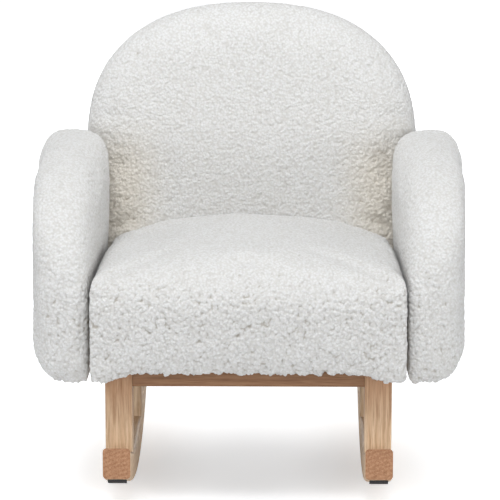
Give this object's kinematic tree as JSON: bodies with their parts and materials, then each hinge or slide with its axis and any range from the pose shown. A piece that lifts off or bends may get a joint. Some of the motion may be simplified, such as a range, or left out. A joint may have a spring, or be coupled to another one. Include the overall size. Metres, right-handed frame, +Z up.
{
  "type": "childs rocking chair",
  "caption": "Child's upholstered rocking armchair with an arched back, rounded padded arms and a thick seat on a light wood base with curved runners.",
  "frame": {"origin": "on the floor plane that the runners rest on, under the middle of the chair's bounding box", "axes": "+X to the chair's right as seen from in front, +Y from its front to its back, +Z up"},
  "size_m": [0.4718, 0.465, 0.5117],
  "materials": {
    "sherpa": "off-white curly pile, about 5 mm deep",
    "foam": null,
    "wadding": "white polyester wadding",
    "dust_cloth": "thin black non-woven cloth",
    "beech": "light beech, satin clear lacquer",
    "beech_dowel": "fluted beech dowel, unfinished",
    "pine": "planed pine, unfinished",
    "plywood": "birch plywood, unfinished",
    "rubber": "matt black rubber",
    "zinc_steel": "bright zinc plate",
    "insert_alloy": "plain turned brass"
  },
  "bodies": {
    "root": {"left_runner": "beech", "right_runner": "beech", "front_left_leg": "beech", "front_right_leg": "beech", "rear_left_leg": "beech", "rear_right_leg": "beech", "front_rail": "beech", "rear_rail": "beech", "left_side_rail": "beech", "right_side_rail": "beech", "front_tip_pads": "rubber", "rear_tip_pads": "rubber", "leg_dowels": "beech_dowel", "leg_bolts": "zinc_steel", "leg_insert_nuts": "insert_alloy", "rail_dowels": "beech_dowel", "base_bolts": "zinc_steel", "base_washers": "zinc_steel", "base_tee_nuts": "zinc_steel", "seat_front_rail": "pine", "seat_rear_rail": "pine", "seat_left_rail": "pine", "seat_right_rail": "pine", "seat_corner_blocks": "pine", "seat_frame_screws": "zinc_steel", "seat_board": "plywood", "seat_board_screws": "zinc_steel", "seat_foam": "foam", "seat_cover": "sherpa", "dust_cover": "dust_cloth", "back_board": "plywood", "back_left_post": "pine", "back_right_post": "pine", "back_top_rail": "pine", "back_foam": "foam", "back_wadding": "wadding", "back_cover": "sherpa", "back_bolts": "zinc_steel", "back_washers": "zinc_steel", "back_tee_nuts": "zinc_steel", "left_arm_inner_board": "plywood", "right_arm_inner_board": "plywood", "left_arm_outer_board": "plywood", "right_arm_outer_board": "plywood", "left_arm_spacers": "pine", "right_arm_spacers": "pine", "left_arm_foam": "foam", "right_arm_foam": "foam", "left_arm_cover": "sherpa", "right_arm_cover": "sherpa", "arm_bolts": "zinc_steel", "arm_washers": "zinc_steel", "arm_tee_nuts": "zinc_steel"}
  },
  "joints": []
}
